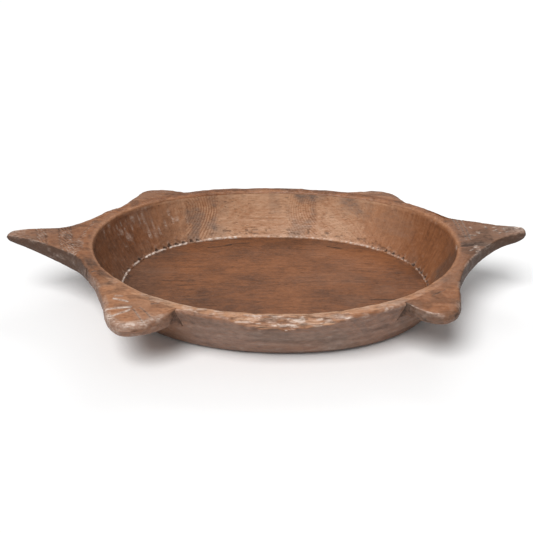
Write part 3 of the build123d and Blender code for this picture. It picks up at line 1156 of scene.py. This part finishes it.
class Nodes:
    """Builds shader nodes from numbers and values."""

    def __init__(self, tree):
        self.tree = tree

    def make(self, kind, *values, **settings):
        """A node with its settings, its first inputs fed in order."""
        node = self.tree.nodes.new(kind)
        for name, setting in settings.items():
            setattr(node, name, setting)
        for socket, value in zip(node.inputs, values):
            self.feed(socket, value)
        return node

    def feed(self, socket, value):
        if isinstance(value, Value):
            self.tree.links.new(value.socket, socket)
        else:
            socket.default_value = value

    def values(self, node):
        return [Value(self, socket) for socket in node.outputs]

    def math(self, operation, *values, clamp=False):
        return self.values(self.make("ShaderNodeMath", *values, operation=operation, use_clamp=clamp))[0]

    def layer(self, name):
        return Value(self, self.make("ShaderNodeAttribute", attribute_name=name).outputs["Fac"])

    def place(self, x, y):
        return self.values(self.make("ShaderNodeCombineXYZ", x, y))[0]

    def noise(self, place_, stretch, detail=3, roughness=0.55):
        """Blender's noise, 0 to 1, squeezed by stretch along each axis."""
        stretched = self.make("ShaderNodeVectorMath", place_, stretch, operation="MULTIPLY")
        node = self.make("ShaderNodeTexNoise")
        self.feed(node.inputs["Vector"], self.values(stretched)[0])
        node.inputs["Scale"].default_value = 1
        node.inputs["Detail"].default_value = detail
        node.inputs["Roughness"].default_value = roughness
        return self.values(node)[0]

    def wave(self, value, frequency, sharpness):
        """Bands from 0 to 1 along a value, narrower as sharpness grows."""
        return (self.math("SINE", value * frequency) * 0.5 + 0.5) ** sharpness

    def length(self, one, other):
        return self.math("SQRT", one * one + other * other)

    def ramp(self, value, stops):
        node = self.make("ShaderNodeValToRGB", value)
        elements = node.color_ramp.elements
        while len(elements) < len(stops):
            elements.new(0.5)
        for element, (position, colour) in zip(elements, stops):
            element.position = position
            element.color = (*colour, 1)
        return self.values(node)[0]

    def range(self, value, low, high, to_low=0.0, to_high=1.0):
        return self.values(self.make("ShaderNodeMapRange", value, low, high, to_low, to_high,
                                     interpolation_type="SMOOTHSTEP"))[0]

    def paint(self, share, under, colour):
        """One colour laid over another by a share."""
        node = self.make("ShaderNodeMix", data_type="RGBA")
        self.feed(node.inputs[0], share)
        self.feed(node.inputs[6], under)
        self.feed(node.inputs[7], (*colour, 1))
        return self.values(node)[2]


DEEP = (0.045, 0.024, 0.016)
BROWN = (0.105, 0.042, 0.019)
MIDDLE = (0.24, 0.09, 0.034)
TAN = (0.41, 0.195, 0.098)
LIGHT = (0.56, 0.32, 0.19)
GREY = (0.20, 0.132, 0.098)
PALE = (0.70, 0.58, 0.50)
GRIME_AND_SHADE = (0.040, 0.018, 0.009)
SHADES = [(0.0, DEEP), (0.22, BROWN), (0.45, MIDDLE), (0.8, TAN), (1.0, LIGHT)]

# In metres: the pith's height, the two swirls' places on the back wall and the spacing of their rings.
PITH_HEIGHT = 0.18
SWIRL_LEFT = -0.165
SWIRL_RIGHT = 0.115
SWIRL_HEIGHT = 0.07
SWIRL_SPACING = 0.0046
# Growth rings, in radians per metre away from the pith.
RING_FREQUENCY = 2900.0


def wood_material(name, rings, fibres, patches, mottles, roughness):
    """One solid block of timber, its grain running along x, so every piece shows the same log."""
    material = bpy.data.materials.new(name)
    material.use_nodes = True
    n = Nodes(material.node_tree)
    shader = material.node_tree.nodes["Principled BSDF"]
    here = Value(n, n.make("ShaderNodeTexCoord").outputs["Object"])
    pale, dark, grey, tone, ends, swirls = (n.layer(label) for label in Skin.NAMES)
    length, across, up = n.values(n.make("ShaderNodeSeparateXYZ", here))

    # growth rings round a pith that runs along x above the bowl, as in a bowl cut from half a log
    warp = n.noise(here, (5, 14, 14), 2)
    distance = n.length(across, up - PITH_HEIGHT) + warp * 0.012
    bands = n.noise(n.place(distance, length), (210, 2.5, 1), 3, 0.7) - 0.5
    lines = n.wave(distance, RING_FREQUENCY, 2.5) * 0.2
    # in two places on the back wall, marked by the layer called rings, they curve round a centre
    left_side = n.math("LESS_THAN", length, 0.0)
    swirl_x = SWIRL_RIGHT - left_side * (SWIRL_RIGHT - SWIRL_LEFT)
    swirl = n.length(length - swirl_x, up - SWIRL_HEIGHT) + warp * 0.02
    lines = lines + n.wave(swirl, 2 * math.pi / SWIRL_SPACING, 2.0) * swirls
    ring = (bands * 1.7 - lines) * n.range(n.noise(here, (7, 12, 12), 2), 0.4, 0.62, 0.35, 1.0)

    # long fibres along x, upright tool marks on the ends, and soft blotches
    fibre = n.noise(here, (9, 190, 190), 4, 0.65) - 0.5
    fine = n.noise(here, (30, 520, 520), 3, 0.6) - 0.5
    blotch = n.noise(here, (9, 15, 15)) - 0.5
    upright = n.noise(n.place(n.layer("around"), up), (260, 22, 1), 4, 0.6) - 0.5
    speckle = n.noise(here, (150, 260, 260), 2)
    mottle = n.noise(here, (130, 210, 210), 4, 0.7) - 0.5

    along = 1.0 - ends
    level = tone + ring * (1.0 - ends * 0.75) * rings + mottle * mottles + fibre * along * fibres
    level = level + fine * along * 0.3 + upright * ends * 0.45 + blotch * patches
    colour = n.ramp(level, SHADES)

    # grey share: grey patina, and the painted shadow band under the right-front rim
    grey_and_shadow_share = n.math("MULTIPLY", grey, n.range(blotch + fibre, -0.25, 0.3, 0.35, 1.15), clamp=True)
    colour = n.paint(grey_and_shadow_share, colour, GREY)
    # dark share: grime, and painted shade in hollows, notches, bites, creases, sides and undersides
    grime_and_shade_share = n.math("MULTIPLY", dark, n.range(speckle, 0.3, 0.6, 1.1, 0.7), clamp=True)
    colour = n.paint(grime_and_shade_share * 0.9, colour, GRIME_AND_SHADE)
    # pale share: bare wood, and painted highlights and glints
    bare = n.math("MULTIPLY", pale, n.range(speckle + fine, 0.35, 0.65, 0.25, 1.2), clamp=True)
    colour = n.paint(bare, colour, PALE)
    pores = n.range(n.noise(here, (60, 900, 900), 2), 0.62, 0.72)
    colour = n.paint(pores * 0.45, colour, DEEP)
    n.feed(shader.inputs["Base Color"], colour)

    sheen = n.math("ADD", (blotch + fibre) * 0.25 + roughness, grime_and_shade_share * 0.2, clamp=True)
    n.feed(shader.inputs["Roughness"], sheen)
    shader.inputs["Specular IOR Level"].default_value = 0.45

    height = (fibre * 0.7 + fine * 0.4) * along + mottle * (mottles + 0.3)
    height = height + upright * ends * 0.5 + pores * -0.5 + ring * 0.15
    relief = n.make("ShaderNodeBump")
    relief.inputs["Strength"].default_value = 0.85
    relief.inputs["Distance"].default_value = 0.0012
    n.feed(relief.inputs["Height"], height)
    n.feed(shader.inputs["Normal"], n.values(relief)[0])
    return material


WOODS = {
    "floor_wood": (0.03, 0.12, 0.1, 0.36, 0.5),
    "wall_wood": (0.28, 0.25, 0.35, 0.4, 0.42),
    "handle_wood": (0.2, 0.25, 0.35, 0.6, 0.46),
}
MATERIALS = {name: wood_material(name, *numbers) for name, numbers in WOODS.items()}
SLOTS = {"basin_floor": "floor_wood", "basin_wall": "wall_wood"}

for node, piece in pieces.items():
    slot = SLOTS.get(node, "handle_wood")
    piece.data.materials.append(MATERIALS[slot])
    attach(piece, "root")
    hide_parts(node)

# ---------------------------------------------------------------- floor, light and camera
GROUND_SIZE = 40
WORLD_STRENGTH = 0.36
SUN_STRENGTH = 2.85
SUN_SPREAD = math.radians(35)
SUN_FROM = (-0.9, -1.6, 2.9)
BACK_LIGHT_WATTS = 6
VIEW_ELEVATION = math.radians(30)
VIEW_DISTANCE = 1.5
VIEW_LENS = 60.67

bounds_low, bounds_high = (np.array(corner) for corner in cad_bounds)
middle = (bounds_low + bounds_high) / 2


def show(name, data):
    """Puts a new light or camera in the scene."""
    thing = bpy.data.objects.new(name, data)
    bpy.context.scene.collection.objects.link(thing)
    return thing


def aim(thing, position, target):
    """Puts a light or camera at a position, looking at a target."""
    thing.location = position
    offset = np.array(target) - np.array(position)
    flat = math.hypot(offset[0], offset[1])
    thing.rotation_euler = (math.atan2(flat, -offset[2]), 0, math.atan2(-offset[0], offset[1]))


bpy.ops.mesh.primitive_plane_add(size=GROUND_SIZE, location=(middle[0], middle[1], bounds_low[2]))
ground = bpy.context.object
ground.name = "ground"
pale_floor = bpy.data.materials.new("pale_floor")
pale_floor.use_nodes = True
ground_shader = pale_floor.node_tree.nodes["Principled BSDF"]
ground_shader.inputs["Base Color"].default_value = (0.9, 0.9, 0.9, 1)
ground_shader.inputs["Roughness"].default_value = 0.7
ground.data.materials.append(pale_floor)

world = bpy.data.worlds.new("studio")
bpy.context.scene.world = world
world.use_nodes = True
sky = world.node_tree.nodes["Background"]
sky.inputs["Color"].default_value = (1, 1, 1, 1)
sky.inputs["Strength"].default_value = WORLD_STRENGTH

sun = bpy.data.lights.new("key", "SUN")
sun.energy = SUN_STRENGTH
sun.angle = SUN_SPREAD
aim(show("key", sun), middle + SUN_FROM, middle)

# a rectangular softbox above and behind the bowl
softbox = bpy.data.lights.new("back_top", "AREA")
softbox.shape = "RECTANGLE"
softbox.size = 1.6
softbox.size_y = 0.5
softbox.energy = BACK_LIGHT_WATTS
aim(show("back_top", softbox), (0.5, 1.5, 1.7), middle)

target = middle + np.array([0, 0.008, -0.007])
back_off = np.array([0, -math.cos(VIEW_ELEVATION), math.sin(VIEW_ELEVATION)])
lens = bpy.data.cameras.new("camera")
lens.lens = VIEW_LENS
lens.sensor_width = 36
camera = show("camera", lens)
aim(camera, target + VIEW_DISTANCE * back_off, target)
bpy.context.scene.camera = camera
bpy.context.scene.view_settings.view_transform = "Standard"
